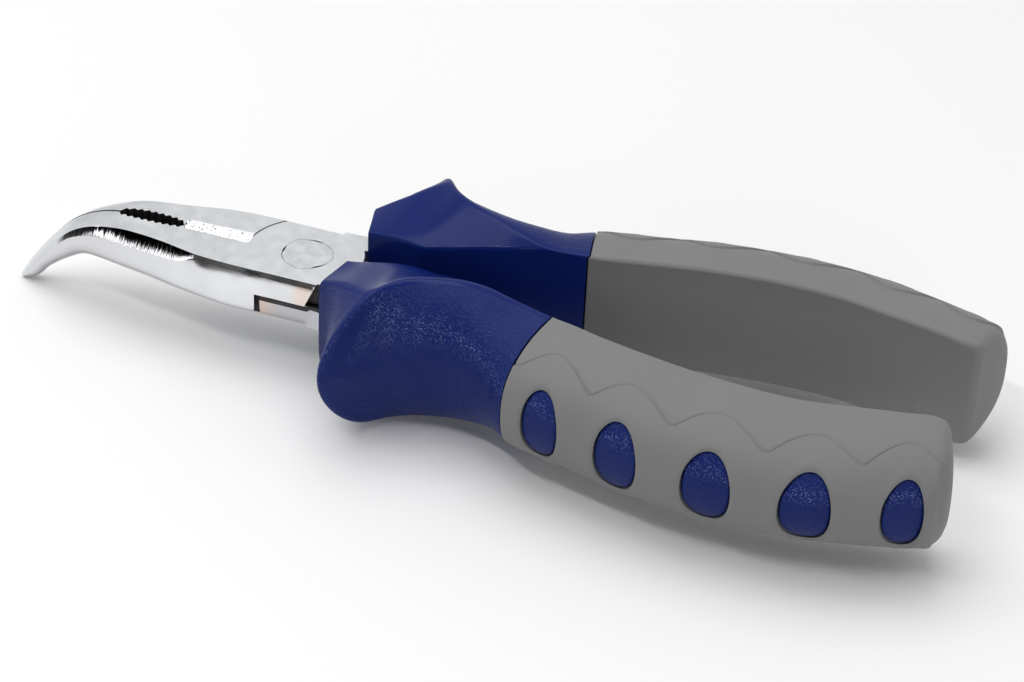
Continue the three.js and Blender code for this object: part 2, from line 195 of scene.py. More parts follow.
# Opening with teeth between the jaws: first tooth, pitch and number, the opening's reach into the far
# and the near jaw, the teeth's depth. Wire cutter: its ends, the bevel's width, the notch's width in
# the other jaw, and the height of the cutting edge.
TEETH = {"start": -41.0, "pitch": 1.56, "count": 9, "far": 1.75, "near": 0.95, "depth": 0.65}
TEETH_ROOT = 0.25           # reach of the opening at its two ends
CUTTER = {"from": -26.8, "to": -11.0, "bevel": 2.5, "notch": 0.9, "edge": 4.0}

# ---- numbers and meshes ----


def spline(keys, rows, at):
    """Smooth curve through rows at keys, read at other keys (cubic Hermite, chord slopes)."""
    keys, rows, at = (np.asarray(a, float) for a in (keys, rows, at))
    step = np.diff(keys)
    slope = np.diff(rows, axis=0) / step[:, None]
    tangent = np.empty_like(rows)
    tangent[0], tangent[-1] = slope[0], slope[-1]
    weight = (step[1:] / (step[1:] + step[:-1]))[:, None]
    tangent[1:-1] = slope[:-1] * weight + slope[1:] * (1 - weight)
    i = np.clip(np.searchsorted(keys, at, side="right") - 1, 0, len(keys) - 2)
    h = step[i][:, None]
    t = ((at - keys[i]) / step[i])[:, None]
    return ((2 * t**3 - 3 * t**2 + 1) * rows[i] + (t**3 - 2 * t**2 + t) * h * tangent[i]
            + (3 * t**2 - 2 * t**3) * rows[i + 1] + (t**3 - t**2) * h * tangent[i + 1])


def smoothstep(x):
    x = np.clip(x, 0, 1)
    return x * x * (3 - 2 * x)


def parts(count):
    """Even fractions after 0, up to 1."""
    return np.arange(1, count + 1) / count


def full_turn(sides):
    """Even angles round a circle."""
    return np.arange(sides) / sides * 2 * pi


def bezier(a, corner, b, count):
    """Points after a, up to b, on the curve that rounds a corner; each input is (n, 2) or (n, 3)."""
    t = parts(count)[None, :, None]
    return (1 - t) ** 2 * a[:, None] + 2 * t * (1 - t) * corner[:, None] + t * t * b[:, None]


def straight(a, b, count):
    """Points after a, up to b, on the line between them."""
    return a[:, None] + (b - a)[:, None] * parts(count)[None, :, None]


def run_length(points, axis):
    """Distance along a line of points at each of them, from 0 at the first."""
    steps = np.linalg.norm(np.diff(points, axis=axis), axis=-1)
    return np.insert(np.cumsum(steps, axis=axis), 0, 0, axis=axis)


def mesh_object(name, points, faces, slots=None):
    mesh = bpy.data.meshes.new(name)
    mesh.from_pydata([tuple(p) for p in np.asarray(points, float).tolist()], [], faces)
    for _ in range(SLOTS):
        mesh.materials.append(None)
    if slots is not None:
        mesh.polygons.foreach_set("material_index", np.asarray(slots, np.int32))
    mesh.update()
    piece = bpy.data.objects.new(name, mesh)
    bpy.context.scene.collection.objects.link(piece)
    return piece


def loft(name, rings, slots=None):
    """Closed body through rings (n, m, 3), with a fan at each end; slots gives (n - 1, m) materials."""
    rings = np.asarray(rings, float)
    n, m = rings.shape[:2]
    points = np.vstack([rings.reshape(-1, 3), rings[0].mean(0), rings[-1].mean(0)])
    row = np.arange(n - 1)[:, None] * m
    col = np.arange(m)[None]
    nxt = (col + 1) % m
    quads = np.stack([row + col, row + nxt, row + m + nxt, row + m + col], -1).reshape(-1, 4)
    col, nxt = col[0], nxt[0]
    first = np.stack([nxt, col, np.full(m, n * m)], -1)
    last = np.stack([(n - 1) * m + col, (n - 1) * m + nxt, np.full(m, n * m + 1)], -1)
    tri = np.vstack([quads[:, :3], quads[:, [0, 2, 3]], first, last])
    a, b, c = (points[tri[:, corner]] for corner in range(3))
    volume = np.einsum("ij,ij->", a, np.cross(b, c))
    faces = quads.tolist() + first.tolist() + last.tolist()
    if volume < 0:
        faces = [face[::-1] for face in faces]
    if slots is not None:
        slots = np.concatenate([np.asarray(slots).reshape(-1), np.full(m, slots[0][0]),
                                np.full(m, slots[-1][0])])
    return mesh_object(name, points, faces, slots)


def prism(name, outline, low, high, axis="z"):
    """Closed prism of a plane outline: (x, y) up Z, (x, z) along Y, or (y, z) along X."""
    outline = np.asarray(outline, float)
    return loft(name, [np.insert(outline, "xyz".index(axis), level, axis=1) for level in (low, high)])


def around(radius, t):
    """Plane points at angles t and a radius, which may differ from point to point."""
    return np.stack([radius * np.cos(t), radius * np.sin(t)], 1)


def circle(radius):
    return around(radius, full_turn(128))


def drop(piece):
    mesh = piece.data
    bpy.data.objects.remove(piece)
    bpy.data.meshes.remove(mesh)


def combine(piece, operation, *tools):
    """Add, cut or intersect closed bodies, in place; the tools are used up."""
    for tool in tools:
        step = piece.modifiers.new("join", "BOOLEAN")
        step.operation, step.solver, step.object = operation, "MANIFOLD", tool
        bpy.context.view_layer.update()
        evaluated = piece.evaluated_get(bpy.context.evaluated_depsgraph_get())
        made = bpy.data.meshes.new_from_object(evaluated)
        piece.modifiers.clear()
        old = piece.data
        piece.data = made
        bpy.data.meshes.remove(old)
        drop(tool)
        if not len(made.polygons):
            raise RuntimeError(f"{piece.name}: {operation} left nothing")


def copy_of(piece, name, flip_y=False, flip_z=False):
    """A copy, mirrored across Y, Z or both."""
    twin = bpy.data.objects.new(name, piece.data.copy())
    bpy.context.scene.collection.objects.link(twin)
    scale = Matrix.Diagonal((1, -1 if flip_y else 1, -1 if flip_z else 1, 1))
    twin.data.transform(scale)
    if flip_y != flip_z:
        twin.data.flip_normals()
    return twin


def flipped(piece, **flips):
    """The mirrored body in place of the given one, under the same name."""
    name = piece.name
    twin = copy_of(piece, name + "_flipped", **flips)
    drop(piece)
    twin.name = name
    return twin


def finish_piece(piece, body, slot, materials, *nodes):
    """Turn a millimetre drawing into a piece of the model."""
    mesh = piece.data
    mesh.transform(Matrix.Scale(MM, 4) @ Matrix.Translation((0, 0, -HALF_JOINT)))
    mesh.polygons.foreach_set("use_smooth", np.ones(len(mesh.polygons), bool))
    mesh.set_sharp_from_angle(angle=SHARP)
    painted = np.empty(len(mesh.polygons), np.int32)
    mesh.polygons.foreach_get("material_index", painted)
    mesh.materials.clear()      # this forgets which face has which material
    for material in materials:
        mesh.materials.append(material)
    mesh.polygons.foreach_set("material_index", painted)
    mesh.name = piece.name
    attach(piece, body)
    if nodes:
        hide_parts(*nodes)


# ---- materials ----


class Nodes:
    """A node tree, with short calls for the nodes that the materials and the world share."""

    def __init__(self, tree):
        self.tree = tree
        self.link = tree.links.new

    def new(self, kind):
        return self.tree.nodes.new("ShaderNode" + kind)

    def fill(self, socket, value):
        """Give a socket a number, a colour of three numbers or another node's output."""
        if isinstance(value, (int, float)):
            socket.default_value = value
        elif isinstance(value, tuple):
            socket.default_value = (*value, 1)
        else:
            self.link(value, socket)

    def split(self, vector, axis):
        """A vector's X, Y or Z."""
        node = self.new("SeparateXYZ")
        self.link(vector, node.inputs["Vector"])
        return node.outputs[axis]

    def ramp(self, source, *stops):
        """Turn a number into a grey or a colour; each stop is (place, grey or colour)."""
        node = self.new("ValToRGB")
        self.link(source, node.inputs["Fac"])
        elements = node.color_ramp.elements
        while len(elements) < len(stops):
            elements.new(0.5)
        for element, (place, value) in zip(elements, stops):
            element.position = place
            element.color = (*value, 1) if isinstance(value, tuple) else (value,) * 3 + (1,)
        return node.outputs["Color"]

    def math(self, operation, a, b):
        node = self.new("Math")
        node.operation = operation
        self.fill(node.inputs[0], a)
        self.fill(node.inputs[1], b)
        return node.outputs["Value"]

    def add(self, a, b):
        return self.math("ADD", a, b)

    def minus(self, a, b):
        return self.math("SUBTRACT", a, b)

    def times(self, a, b):
        return self.math("MULTIPLY", a, b)


class Shader(Nodes):
    """A material, with calls for the nodes that give it its look."""

    def __init__(self, name, colour, roughness, metallic=0.0, specular=0.5):
        self.material = bpy.data.materials.new(name)
        self.material.use_nodes = True
        super().__init__(self.material.node_tree)
        self.shader = self.tree.nodes["Principled BSDF"]
        self.set(self.shader, **{"Base Color": (*colour, 1), "Roughness": roughness,
                                 "Metallic": metallic, "Specular IOR Level": specular})
        self.coordinates = self.new("TexCoord").outputs["Object"]

    def set(self, node, **values):
        for key, value in values.items():
            node.inputs[key].default_value = value

    def to(self, source, socket):
        self.link(source, self.shader.inputs[socket])

    def place(self, scale):
        """The object's own coordinates, scaled alike or by (x, y, z)."""
        node = self.new("Mapping")
        self.link(self.coordinates, node.inputs["Vector"])
        node.inputs["Scale"].default_value = scale if isinstance(scale, tuple) else (scale,) * 3
        return node.outputs["Vector"]

    def noise(self, scale, detail=4.0, rough=0.55, distortion=0.0):
        node = self.new("TexNoise")
        self.link(self.place(scale), node.inputs["Vector"])
        self.set(node, Scale=1.0, Detail=detail, Roughness=rough, Distortion=distortion)
        return node.outputs["Fac"]

    def cells(self, scale):
        node = self.new("TexVoronoi")
        self.link(self.place(scale), node.inputs["Vector"])
        self.set(node, Scale=1.0)
        return node.outputs["Distance"]

    def mix(self, factor, a, b):
        node = self.new("Mix")
        node.data_type = "RGBA"
        self.fill(node.inputs["Factor"], factor)
        self.fill(node.inputs[6], a)
        self.fill(node.inputs[7], b)
        return node.outputs[2]

    def bump(self, height, strength, distance, under=None):
        """Relief of a height in metres, on top of another bump where one is given."""
        node = self.new("Bump")
        self.set(node, Strength=strength, Distance=distance)
        self.link(height, node.inputs["Height"])
        if under is not None:
            self.link(under, node.inputs["Normal"])
        return node.outputs["Normal"]

    def facing_up(self):
        """From -1, facing down, to 1, facing up."""
        return self.split(self.new("NewGeometry").outputs["Normal"], "Z")

    def along(self, axis, scale):
        """The object's own X, Y or Z in metres, times scale."""
        return self.times(self.split(self.coordinates, axis), scale)


def polished_steel():
    """Forged side, polished across its length: near mirror with faint cloudy wear, and painted shade
    towards the nose tip, on faces turned down and on the lower lap.
    """
    s = Shader("steel_polished", (0.78, 0.79, 0.81), 0.16, 1.0)
    cloud = s.noise(90)
    lines = s.noise((1800, 260, 120), detail=3)
    colour = s.ramp(cloud, (0.3, (0.72, 0.73, 0.75)), (0.7, (0.84, 0.85, 0.87)))
    # Painted shade: darker towards the nose tip.
    nose = s.ramp(s.along("X", -20), (0.3, 0.0), (0.9, 1.0))
    colour = s.mix(nose, colour, (0.66, 0.665, 0.685))
    # Painted shade: faces turned down are darker.
    turned = s.add(s.times(s.facing_up(), 0.5), 0.5)
    colour = s.mix(s.ramp(turned, (0.2, 1.0), (0.5, 0.0)), colour, (0.48, 0.48, 0.50))
    # Painted shade: the lower lap is darker from the slot before it backwards. Hardening tinted it
    # beside the slot, and the upper lap behind the pivot.
    lower = s.ramp(s.along("Z", -100), (0.50, 0.0), (0.53, 1.0))
    reach = s.add(s.along("X", 25), 0.5)
    shaded_lower_lap = s.times(lower, s.ramp(reach, (0.325, 0.0), (0.335, 1.0)))
    colour = s.mix(shaded_lower_lap, colour, (0.52, 0.52, 0.55))
    low_heat = s.times(shaded_lower_lap, s.ramp(reach, (0.33, 0.8), (0.38, 0.5), (0.46, 0.0)))
    high_heat = s.ramp(reach, (0.50, 0.0), (0.58, 0.55), (0.66, 0.3))
    heat = s.add(low_heat, s.times(high_heat, s.minus(1.0, lower)))
    s.to(s.mix(heat, colour, (0.80, 0.58, 0.44)), "Base Color")
    s.to(s.ramp(s.noise(260, detail=5), (0.3, 0.12), (0.75, 0.26)), "Roughness")
    s.to(s.bump(lines, 0.12, 0.00003), "Normal")
    return s.material


def ground_top():
    """Flat faces, surface ground: satin, with mottling and short fine scratches."""
    s = Shader("steel_ground_face", (0.72, 0.74, 0.76), 0.36, 1.0)
    mottle = s.noise(330, detail=6, rough=0.62)
    patch = s.noise(70, detail=2)
    colour = s.mix(patch, (0.66, 0.68, 0.70), (0.78, 0.80, 0.82))
    s.to(s.mix(s.ramp(mottle, (0.35, 0.0), (0.75, 0.5)), colour, (0.86, 0.87, 0.89)), "Base Color")
    s.to(s.ramp(mottle, (0.25, 0.30), (0.8, 0.46)), "Roughness")
    scratch = s.noise((260, 2600, 900), detail=3)
    s.to(s.bump(scratch, 0.10, 0.00003, s.bump(mottle, 0.08, 0.0001)), "Normal")
    return s.material


def ground_facet():
    """Ground facet along the nose: deep marks across it, and a painted dark reflection, black on its
    less upturned part and ragged along the marks.
    """
    s = Shader("steel_ground_facet", (0.80, 0.81, 0.83), 0.14, 1.0)
    marks = s.noise((2900, 150, 150), detail=2, rough=0.5, distortion=0.2)
    reach = s.along("X", -20)
    bend = s.ramp(reach, (0.84, 0.0), (0.96, 1.0))
    root = s.ramp(reach, (0.42, 1.0), (0.70, 0.0))
    tip = s.ramp(s.times(reach, 0.9), (0.94, 1.0), (0.985, 0.0))
    depth = s.minus(0.9, s.times(bend, 0.7))
    # Painted reflection: black where the facet faces less upwards, broken up by the marks, fading out
    # near the nose tip.
    reflection_level = s.add(s.facing_up(), s.times(s.minus(marks, 0.5), depth))
    reflection_level = s.add(s.minus(reflection_level, s.times(bend, 0.18)), s.times(root, 0.10))
    shade = s.times(s.ramp(reflection_level, (0.57, 1.0), (0.66, 0.0)), tip)
    s.to(s.mix(shade, (0.74, 0.745, 0.77), (0.012, 0.012, 0.014)), "Base Color")
    s.to(s.bump(marks, 0.5, 0.00016), "Normal")
    return s.material


def cut_steel():
    """Bevel of the wire cutter: bright and coarse, with dark specks."""
    s = Shader("steel_cutter", (0.85, 0.85, 0.86), 0.34, 1.0)
    marks = s.noise((3600, 2400, 2400), detail=2, rough=0.6)
    s.to(s.ramp(marks, (0.40, (0.04, 0.04, 0.05)), (0.46, (0.90, 0.90, 0.91))), "Base Color")
    s.to(s.ramp(s.noise(2200), (0.3, 0.16), (0.7, 0.40)), "Roughness")
    s.to(s.bump(marks, 0.5, 0.00016), "Normal")
    return s.material


def dark_steel():
    """Teeth, cuts at the joint's sides and the seam's bevel on the nose: painted shade, near black, for
    these hollows and narrow cuts.
    """
    s = Shader("steel_painted_shade", (0.03, 0.03, 0.032), 0.5, 0.6)
    grain = s.noise(1500, detail=5)
    s.to(s.ramp(grain, (0.3, (0.008, 0.008, 0.009)), (0.8, (0.06, 0.06, 0.062))), "Base Color")
    s.to(s.ramp(grain, (0.3, 0.38), (0.8, 0.62)), "Roughness")
    s.to(s.bump(grain, 0.3, 0.0001), "Normal")
    return s.material


def seam_steel():
    """Faces where the jaws meet: ground, and painted dark grey as shade for the narrow gap between
    them.
    """
    s = Shader("steel_seam", (0.20, 0.20, 0.205), 0.5, 1.0)
    marks = s.noise((300, 300, 1500), detail=4)
    s.to(s.ramp(marks, (0.3, (0.15, 0.15, 0.155)), (0.75, (0.27, 0.27, 0.275))), "Base Color")
    s.to(s.bump(marks, 0.3, 0.0001), "Normal")
    return s.material


def rivet_steel():
    """Peened rivet, ground flush: mottled satin with fine straight lines."""
    s = Shader("steel_rivet", (0.74, 0.75, 0.77), 0.34, 1.0)
    mottle = s.noise(420, detail=6, rough=0.6)
    s.to(s.ramp(mottle, (0.3, (0.66, 0.68, 0.70)), (0.75, (0.84, 0.85, 0.87))), "Base Color")
    s.to(s.ramp(mottle, (0.25, 0.28), (0.8, 0.44)), "Roughness")
    s.to(s.bump(s.noise((300, 2200, 900)), 0.10, 0.00003), "Normal")
    return s.material


def smooth_blue():
    """Inner faces of the hard core: satin moulding, faintly uneven."""
    s = Shader("plastic_blue_smooth", (0.006, 0.020, 0.20), 0.24, specular=0.15)
    flow = s.noise(60, detail=3)
    s.to(s.mix(flow, (0.003, 0.012, 0.105), (0.005, 0.017, 0.135)), "Base Color")
    fine = s.noise(900, detail=3)
    s.to(s.ramp(fine, (0.3, 0.17), (0.8, 0.24)), "Roughness")
    s.to(s.bump(s.noise(160, detail=2), 0.06, 0.0005, s.bump(fine, 0.05, 0.00005)), "Normal")
    return s.material


def grained_blue():
    """Outer side of the hard core and its pads: eroded grain, with painted glints, pale flecks where it
    faces a little up.
    """
    s = Shader("plastic_blue_grained", (0.006, 0.015, 0.10), 0.36, specular=0.12)
    flow = s.noise(90, detail=3)
    colour = s.mix(flow, (0.004, 0.014, 0.108), (0.007, 0.019, 0.135))
    # Painted glints: pale flecks on faces turned a little up.
    painted_glint = s.times(s.ramp(s.cells(3300), (0.20, 1.0), (0.46, 0.0)),
                    s.ramp(s.noise(1500, detail=2), (0.42, 0.15), (0.56, 1.0)))
    glint_band = s.ramp(s.facing_up(), (0.12, 0.03), (0.36, 1.0), (0.52, 0.30), (0.75, 0.12))
    s.to(s.mix(s.times(painted_glint, glint_band), colour, (0.17, 0.215, 0.43)), "Base Color")
    fine = s.noise(3400, detail=3, rough=0.6)
    s.to(s.ramp(fine, (0.3, 0.26), (0.8, 0.42)), "Roughness")
    s.to(s.bump(s.add(s.cells(2300), s.times(fine, 0.7)), 0.7, 0.00017), "Normal")
    return s.material


def soft_grey():
    """Soft grip: matt thermoplastic rubber with a fine even grain and a few specks of dust."""
    s = Shader("rubber_grey", (0.215, 0.213, 0.21), 0.62, specular=0.35)
    base = s.mix(s.noise(45, detail=3), (0.176, 0.176, 0.177), (0.195, 0.195, 0.195))
    dust = s.ramp(s.cells(230), (0.018, 1.0), (0.035, 0.0))
    s.to(s.mix(dust, base, (0.36, 0.36, 0.36)), "Base Color")
    fine = s.noise(2600, detail=4, rough=0.6)
    s.to(s.ramp(fine, (0.3, 0.56), (0.8, 0.70)), "Roughness")
    s.to(s.bump(s.noise(210, detail=2), 0.05, 0.0004, s.bump(fine, 0.16, 0.00008)), "Normal")
    return s.material


# The near-black steel slot (the fifth) is painted shade for hollows and narrow cuts.
STEEL = [polished_steel(), ground_top(), ground_facet(), cut_steel(), dark_steel(), seam_steel()]
POLISHED, FACE, FACET, CUT, PAINTED_SHADE, SEAM = range(SLOTS)
BLUE = [smooth_blue(), grained_blue()]
SMOOTH, GRAIN = range(2)
GREY = [soft_grey()]
RIVET = [rivet_steel()]

# ---- handles ----

# A ring starts at mid height on the inner face, goes up and over the outer side to mid height there,
# and comes back as its own mirror image below. These are the steps of the parts of its upper half.
FLAT, CORNER, STRIP, RIDGE, ARC = 10, 5, 4, 6, 84
ARC_FIRST = FLAT + CORNER + STRIP + RIDGE + 1  # column of the arc's first point
HALF_RING = ARC_FIRST + ARC
EDGE_STEPS = 15             # of the arc's steps, those at the field's edge
EDGE_COLUMNS = 3            # of the collar's arc, those with a smooth finish
CURVE_STEPS = 240           # points of the outer curve before it is evened out
MOST_ROUND = 0.4            # a radius takes up at most this much of its side
UPSIDE_DOWN = np.array([1, 1, -1.0])
HANDLE = np.array(COLLAR + [SEAM_STATION] + GRIP)
HANDLE_KEYS = run_length(HANDLE[:, 3:8], 0)  # places of the stations along the handle
SEAM_KEY = HANDLE_KEYS[len(COLLAR)]


def outer_curve(rows, reach):
    """Upper half of the outer side, (n, k, 3), from the edge to mid height, and its angles (n, k)."""
    rx, ry, rz, ox, oy, square = (column[:, None] for column in rows.T)
    start = np.arccos(np.clip((reach / (oy - ry)) ** (square / 2), 0, 1))
    angle = start * np.linspace(1, 0, CURVE_STEPS)[None]
    out = np.cos(angle) ** (2 / square)
    up = np.sin(angle).clip(0) ** (2 / square)
    bow = smoothstep((rx - BOW[0]) / BOW[1])
    swing = (1 - up * up) * (1 - bow) + out * bow
    return np.stack([rx + (ox - rx) * swing, ry + (oy - ry) * out, rz * up], -1), angle


def evened(curve, angle):
    """The same curves with ARC points at even steps, after the first, and the angles of those."""
    along = run_length(curve, 1)
    want = along[:, -1:] * np.arange(1, ARC + 1) / ARC
    values = np.concatenate([curve, angle[..., None]], axis=-1)
    made = np.empty((len(curve), ARC, 4))
    for i in range(len(curve)):
        for column in range(4):
            made[i, :, column] = np.interp(want[i], along[i], values[i, :, column])
    return made[..., :3], made[..., 3]


def handle_rings(rows, rounding, inset=0.0):
    """Closed rings (n, m, 3) of the handle's skin, and the angle of each point on the outer curve.

    rounding is the radius of the inner corner and of the upper edge; other points have no angle.
    """
    rows = rows + inset * np.array([0, 1, -1, 0, 1, -1, 0, -1, 0])
    inner, edge = rows[:, 0:3], rows[:, 3:6]
    strip = edge - inner
    length = np.linalg.norm(strip, axis=1, keepdims=True)
    strip = strip / length
    r_in, r_out = (np.minimum(radius, MOST_ROUND * length) for radius in rounding)
    reach = np.minimum(r_out, MOST_ROUND * (rows[:, 7:8] - rows[:, 4:5]))
    curve, angle = outer_curve(rows[:, 3:], reach)
    foot = inner * np.array([1, 1, 0])
    below = inner - np.array([[0, 0, 1.0]]) * r_in
    arc, angles = evened(curve, angle)
    half = np.concatenate([
        foot[:, None], straight(foot, below, FLAT), bezier(below, inner, inner + strip * r_in, CORNER),
        straight(inner + strip * r_in, edge - strip * r_out, STRIP),
        bezier(edge - strip * r_out, edge, curve[:, 0], RIDGE), arc], axis=1)
    angles = np.concatenate([np.full((len(rows), ARC_FIRST), np.nan), angles], axis=1)
    return (np.concatenate([half, half[:, -2:0:-1] * UPSIDE_DOWN], axis=1),
            np.concatenate([angles, angles[:, -2:0:-1]], axis=1))


def rows_between(first, last, pitch):
    """Stations of the handle at even steps of about the given pitch."""
    count = int(round((last - first) / pitch))
    return spline(HANDLE_KEYS, HANDLE, np.linspace(first, last, count + 1))


def cap_rings(ring, depth, steps):
    """Rings that close an end: shrunk towards the ring's centre, domed along X by depth."""
    centre = ring.mean(0)
    made = []
    for i in range(1, steps + 1):
        keep = 1 - i / (steps + 0.6)
        shrunk = centre + (ring - centre) * keep
        shrunk[:, 0] += depth * (1 - keep**2)
        made.append(shrunk)
    return made


def rounded_front(ring, radius, steps=4):
    """Rings that round the front edge of a body, from its flat end face back to full size."""
    centre = ring.mean(0)
    away = ring - centre
    inward = -away / np.linalg.norm(away, axis=1, keepdims=True)
    made = []
    for i in range(steps):
        t = pi / 2 * (1 - i / steps)
        made.append(ring + inward * radius * (1 - cos(t)) + np.array([radius * (1 - sin(t)), 0, 0]))
    return made


def skin_tree():
    """The smooth outer skin of the gripped part, for setting pads on."""
    rings, _ = handle_rings(rows_between(SEAM_KEY - 3, HANDLE_KEYS[-1], 0.8), BARE_GRIP_ROUND)
    n, m = rings.shape[:2]
    faces = [(i * m + j, i * m + (j + 1) % m, (i + 1) * m + (j + 1) % m, (i + 1) * m + j)
             for i in range(n - 1) for j in range(m)]
    return BVHTree.FromPolygons([tuple(p) for p in rings.reshape(-1, 3).tolist()], faces)


def skin_y(skin, x, z):
    """Y of the skin's outer side at x, z."""
    return skin.ray_cast(Vector((x, 60, z)), Vector((0, -1, 0)))[0].y


def stem_floor(skin, x):
    """Y of the inner end of a pad's stem."""
    return skin_y(skin, x, PAD_CENTRE) - STEM_DEPTH


def pad_outline(x, half_width, grow, t):
    """X and Z of a pad's outline: an upright oval, a little fuller than an ellipse."""
    c, s = np.cos(t), np.sin(t)
    return (x + (half_width + grow) * np.sign(c) * np.abs(c) ** PAD_FULLNESS,
            PAD_CENTRE + (PAD_HALF_HEIGHT + grow) * np.sign(s) * np.abs(s) ** PAD_FULLNESS)


def pad(skin, index, x, half_width, fillet_steps=5, face_steps=12):
    """A finger pad: domed face with a rounded edge, on a straight stem down into the spine."""
    t = full_turn(72)

    def under_skin(px, pz, depth):
        y = np.array([skin_y(skin, a, b) for a, b in zip(px, pz)])
        return np.stack([px, y - PAD_SINK - depth, pz], 1)

    px, pz = pad_outline(x, half_width, 0.0, t)
    rings = [np.stack([px, np.full_like(px, stem_floor(skin, x)), pz], 1),
             under_skin(px, pz, PAD_SHOULDER)]
    for i in range(fillet_steps + 1):
        turn = pi / 2 * i / fillet_steps
        px, pz = pad_outline(x, half_width, -PAD_FILLET * (1 - cos(turn)), t)
        rings.append(under_skin(px, pz, PAD_FILLET * (1 - sin(turn))))
    for i in range(1, face_steps):
        keep = 1 - i / face_steps
        rings.append(under_skin(x + (px - x) * keep, PAD_CENTRE + (pz - PAD_CENTRE) * keep,
                                -PAD_DOME * (1 - keep**2)))
    return loft(f"pad_{index}", rings, np.full((len(rings) - 1, len(t)), GRAIN))


def tang_shape(grow, steps=60):
    """The steel tang in the handle, thicker on every side by grow."""
    rows = np.array(TANG, float)
    rows = spline(rows[:, 0], rows, np.linspace(rows[0, 0], rows[-1, 0], steps))
    sizes = [(x, y, w + grow, h + grow) for x, y, w, h in rows]
    return loft("tang", [[(x, y - w, -h), (x, y + w, -h), (x, y + w, h), (x, y - w, h)]
                         for x, y, w, h in sizes])


def lap_round(name, grow, low, high):
    """The lap's outline: a larger round on the jaw side of the pivot than on the handle side."""
    arc = np.linspace(90, 270, 97)
    ends = ((arc, LAP_RADIUS + grow), (arc - 180, LAP_BACK_RADIUS + grow))
    outline = [(r * cos(radians(a)), r * sin(radians(a))) for angles, r in ends for a in angles]
    return prism(name, outline, low, high)


def inside_sleeve(name, end, inset):
    """The handle's shape inside the sleeve, from the collar's last station to x = end."""
    rows = rows_between(HANDLE_KEYS[len(COLLAR) - 1], HANDLE_KEYS[-4], SPINE_PITCH)
    rings, _ = handle_rings(rows[rows[:, 0] <= end], SPINE_ROUND, inset)
    return loft(name, rings)


def collar():
    """Collar with its guard: smooth inside and along the edges, grained on the outer side."""
    rings, angles = handle_rings(rows_between(0, SEAM_KEY, COLLAR_PITCH), COLLAR_ROUND)
    front = rounded_front(rings[0], COLLAR_FRONT_ROUND)
    rings[0, :, 0] += COLLAR_FRONT_ROUND
    plate = cap_rings(front[0], 0.0, 5)[::-1]
    body = np.array(plate + front + list(rings))
    across = np.where(np.isnan(angles[0]), SMOOTH, GRAIN)
    across[ARC_FIRST:ARC_FIRST + EDGE_COLUMNS] = SMOOTH
    across[-ARC_FIRST - EDGE_COLUMNS:-ARC_FIRST] = SMOOTH
    slots = np.full((len(body) - 1, body.shape[1]), SMOOTH)
    slots[len(plate) + len(front) - 1:] = across
    return loft("core", body, slots)


def handle_core(skin):
    """Hard core: collar, spine under the sleeve and finger pads, hollow for the tang and the lap."""
    piece = collar()
    combine(piece, "UNION", inside_sleeve("spine", SPINE_END - SPINE_PITCH, SLEEVE_WALL + GAP))
    combine(piece, "UNION", *[pad(skin, i, x, w) for i, (x, w) in enumerate(PADS)])
    combine(piece, "DIFFERENCE", tang_shape(GAP), lap_round("lap", GAP, -THROUGH, THROUGH))
    return piece


def scallop(x):
    """Height of the raised field's edge on the outer curve, in degrees, at x."""
    place = np.interp(x, SCALLOP_VALLEYS, np.arange(len(SCALLOP_VALLEYS)))
    place = np.floor(place) + (place % 1) ** SCALLOP_LEAN
    arch = np.sqrt(np.sin(place * pi) ** 2 + SCALLOP_SOFTNESS) - SCALLOP_FLOOR
    return SCALLOP_LOW + SCALLOP_RISE * arch / SCALLOP_SPAN


def follow_edge(rings, angles, rows):
    """Crowd the columns of the outer curve together along the field's scalloped edge.

    The rings are changed in place. Returns how far above the edge each point lies, (n, ARC).
    """
    above = ARC // 4
    upper, lower = 0.8, -0.3        # reach of the crowded band above and below the edge
    across = np.empty((len(rings), ARC))
    for i, ring in enumerate(rings):
        grid, turn = ring[ARC_FIRST:HALF_RING][::-1].copy(), angles[i, ARC_FIRST:HALF_RING][::-1]
        rise = run_length(grid, 0)
        edge = np.interp(scallop(place_along(rows[i])), np.degrees(turn), rise)
        edge = min(edge, rise[-1] - 1.2)
        want = np.concatenate([
            np.linspace(rise[-1], edge + upper, above, endpoint=False),
            np.linspace(edge + upper, edge + lower, EDGE_STEPS, endpoint=False),
            np.linspace(edge + lower, 0, ARC - above - EDGE_STEPS)])
        for axis in range(3):
            ring[ARC_FIRST:HALF_RING, axis] = np.interp(want, rise, grid[:, axis])
        across[i] = want - edge
    return across


def place_along(row):
    """X of the outer curve about half way up."""
    return row[3] * 0.25 + row[6] * 0.75


def field_height(across, rows):
    """Height of the scalloped field over the skin, with the fine groove along its edge."""
    to_end = (FIELD_END - rows[:, 6:7]) / FIELD_END_EASE
    inside = np.minimum(-across, to_end)
    moat = MOAT_DEPTH * np.where(to_end < -across, MOAT_END_DEPTH, 1.0)
    field = FIELD_HEIGHT * smoothstep(inside / FIELD_STEP + 0.5)
    return field - moat * np.exp(-((inside + MOAT_CENTRE) / MOAT_WIDTH) ** 2)


def window_height(px, pz, x, half_width):
    """Height of a window's raised lip over the skin, which falls away at the window's edge."""
    w, h = half_width + WINDOW_GAP, PAD_HALF_HEIGHT + WINDOW_GAP
    radial = np.hypot((px - x) / w, (pz - PAD_CENTRE) / h) + 1e-6
    away = (radial - 1) * np.hypot(px - x, pz - PAD_CENTRE) / radial
    lip = LIP_HEIGHT * np.exp(-((away - LIP_CENTRE) / LIP_WIDTH) ** 2)
    fall = -WINDOW_FALL * smoothstep((0.4 - away) / 0.5)
    return np.where(away < LIP_REACH, lip + fall, 0)


